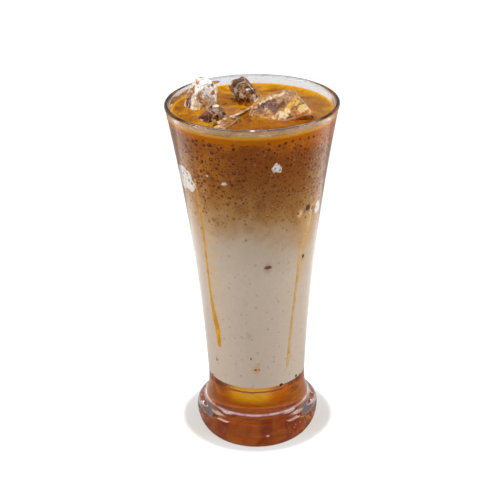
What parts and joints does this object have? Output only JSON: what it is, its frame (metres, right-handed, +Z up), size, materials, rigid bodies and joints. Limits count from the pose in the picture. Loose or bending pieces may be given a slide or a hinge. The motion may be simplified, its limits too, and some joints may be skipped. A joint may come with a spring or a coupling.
{
  "type": "palm sugar milk coffee",
  "caption": "Iced milk coffee in a footed glass that flares to the rim: clear amber palm sugar syrup, milk, brown foamy coffee, a golden crema, and melting ice that stands out of it.",
  "frame": {"origin": "centre of the ring that the foot stands on", "axes": "+Z up along the glass's axis, -Y towards the front that shows the long thin run of syrup on the left and the large piece of ice on the right, +X to the right"},
  "size_m": [0.085, 0.085, 0.1918],
  "materials": {
    "glass": "clear polished soda-lime glass with fine condensation",
    "syrup": "clear dark amber palm sugar syrup",
    "milk": "opaque milk, a little beige, with fine bubbles",
    "coffee": "opaque brown coffee with milk, with brown bubbles",
    "crema": "wet golden crema with brown swirls",
    "syrup_run": "thin ochre syrup on the inside of the wall",
    "ice": "wet melting ice with a film of coffee on it"
  },
  "bodies": {
    "root": {"glass": "glass", "palm_sugar_syrup": "syrup", "milk": "milk", "coffee": "coffee", "crema": "crema", "syrup_run_left": "syrup_run", "syrup_run_right": "syrup_run", "ice_tall_left": "ice", "ice_leaning_back": "ice", "ice_wedge_left": "ice", "ice_slab_front": "ice", "ice_large_right": "ice"}
  },
  "joints": []
}
